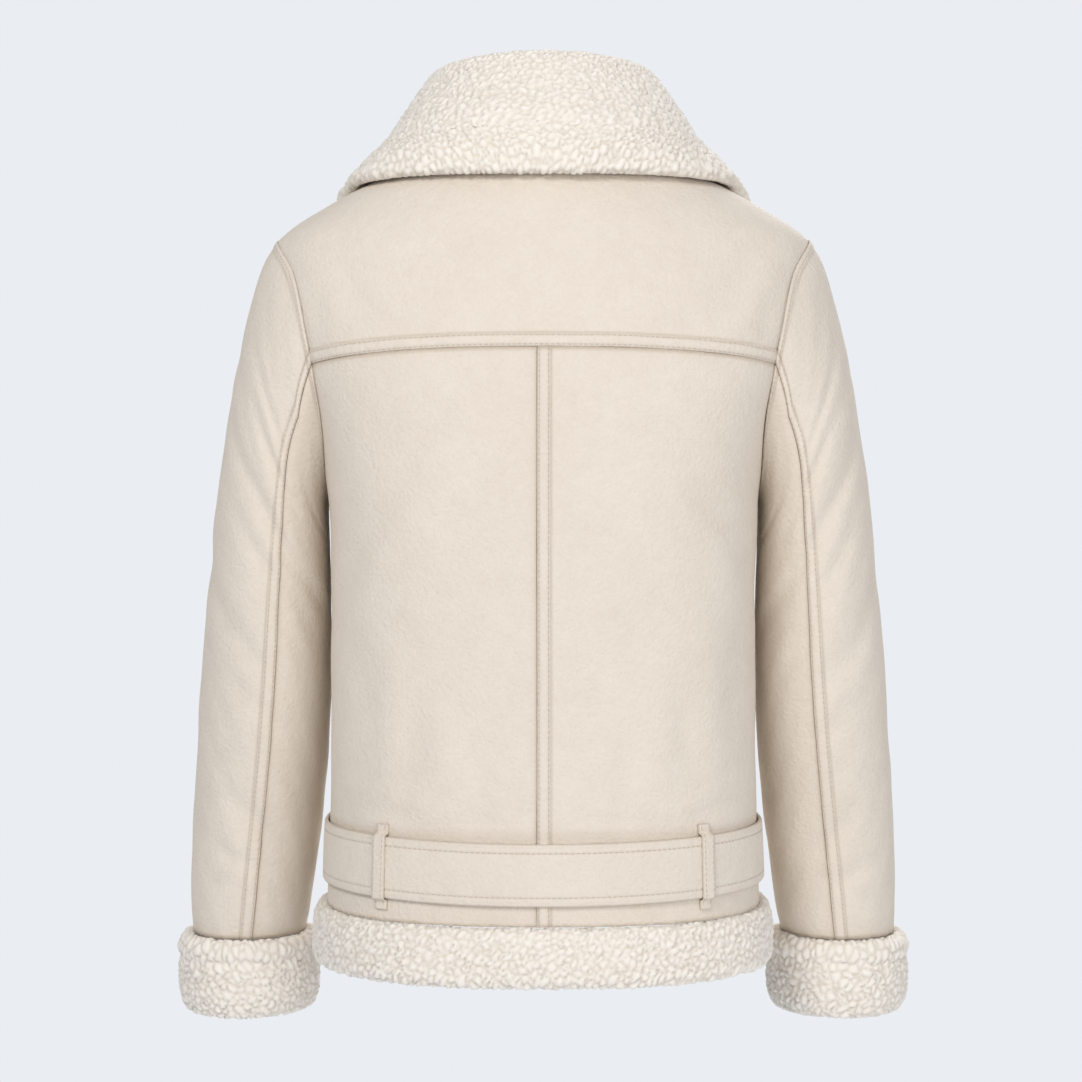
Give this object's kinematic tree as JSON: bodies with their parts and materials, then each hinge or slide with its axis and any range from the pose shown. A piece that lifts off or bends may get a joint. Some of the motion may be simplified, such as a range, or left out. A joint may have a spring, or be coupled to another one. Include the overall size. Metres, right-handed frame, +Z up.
{
  "type": "faux-shearling biker jacket",
  "caption": "Hip-length faux-shearling biker jacket in worn hollow form, with pile collar, hem and cuffs, slanted front zip, buckled belt and swinging zip pull.",
  "frame": {"origin": "middle of the neck opening at the height of the back neck seam, where the wearer's neck and shoulders hold the jacket", "axes": "+Z up, +Y out of the back, -Y out of the front, +X to the wearer's left"},
  "size_m": [0.6164, 0.314, 0.7774],
  "materials": {
    "leather": "matt pale faux suede with a fine nap",
    "pile": "cream curled faux-shearling pile",
    "metal": "dark nickel",
    "tape": "woven zip tape"
  },
  "bodies": {
    "jacket": {"yoke": "leather", "back_left": "leather", "back_right": "leather", "front_left": "leather", "front_right": "leather", "top_sleeve_left": "leather", "top_sleeve_right": "leather", "under_sleeve_left": "leather", "under_sleeve_right": "leather", "belt": "leather", "loop_back_left": "leather", "loop_back_right": "leather", "loop_front_left": "leather", "loop_front_right": "leather", "cuff_left": "pile", "cuff_right": "pile", "hem_band": "pile", "collar": "pile", "collar_band": "pile", "buckle_frame": "metal", "buckle_prong": "metal", "zip_chain": "metal", "zip_slider": "metal", "zip_bridge": "metal", "zip_tape": "tape"},
    "pull": {"pull_tab": "metal"}
  },
  "joints": [
    {"name": "pull_swing", "type": "hinge", "parent": "jacket", "child": "pull", "pos_m": [0.04173, -0.12224, -0.10455], "axis": [-0.9981, -0.0624, 0], "range_deg": [0, 150]}
  ]
}
